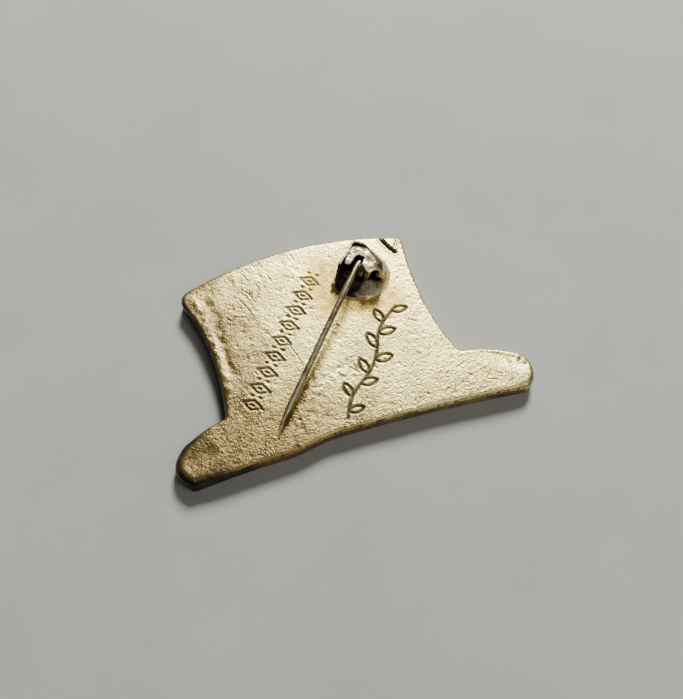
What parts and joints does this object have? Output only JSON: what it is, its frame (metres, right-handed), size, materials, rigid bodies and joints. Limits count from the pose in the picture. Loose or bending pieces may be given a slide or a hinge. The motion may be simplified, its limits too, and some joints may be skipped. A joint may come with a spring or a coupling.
{
  "type": "enamel pin",
  "caption": "Cast badge in the shape of a top hat, enamelled in cells on its front, with a soldered sheet hinge and a sprung wire pin across its plain back.",
  "frame": {"origin": "on the plane the enamelled front rests on, under the middle of the badge's outline", "axes": "+X along the hat's brim, +Y towards the top of the crown, +Z out of the back, away from the enamel"},
  "size_m": [0.0414, 0.025, 0.005],
  "materials": {
    "plated_body": "satin cast surface under a worn pale nickel-silver plate",
    "black_enamel": "hard enamel, ground flush and polished",
    "band_enamel": "hard enamel, ground flush and polished",
    "hinge_sheet": "tarnished, plating worn through at the edges",
    "solder": "dull solder with brown flux stains",
    "pin_steel": "drawn wire, slightly tarnished"
  },
  "bodies": {
    "badge": {"badge_body": "plated_body", "brim_enamel": "black_enamel", "band_enamel": "band_enamel", "crown_enamel": "black_enamel", "hinge_base": "hinge_sheet", "hinge_hood": "hinge_sheet", "solder_fillet": "solder"},
    "pin": {"pin_wire": "pin_steel"}
  },
  "joints": [
    {"name": "pin_hinge", "type": "hinge", "parent": "badge", "child": "pin", "pos_m": [0.00555, 0.00686, 0.00354], "axis": [-0.7466, 0.6652, 0], "range_deg": [-1.5, 50], "stiffness_Nm_per_rad": 0.03}
  ]
}
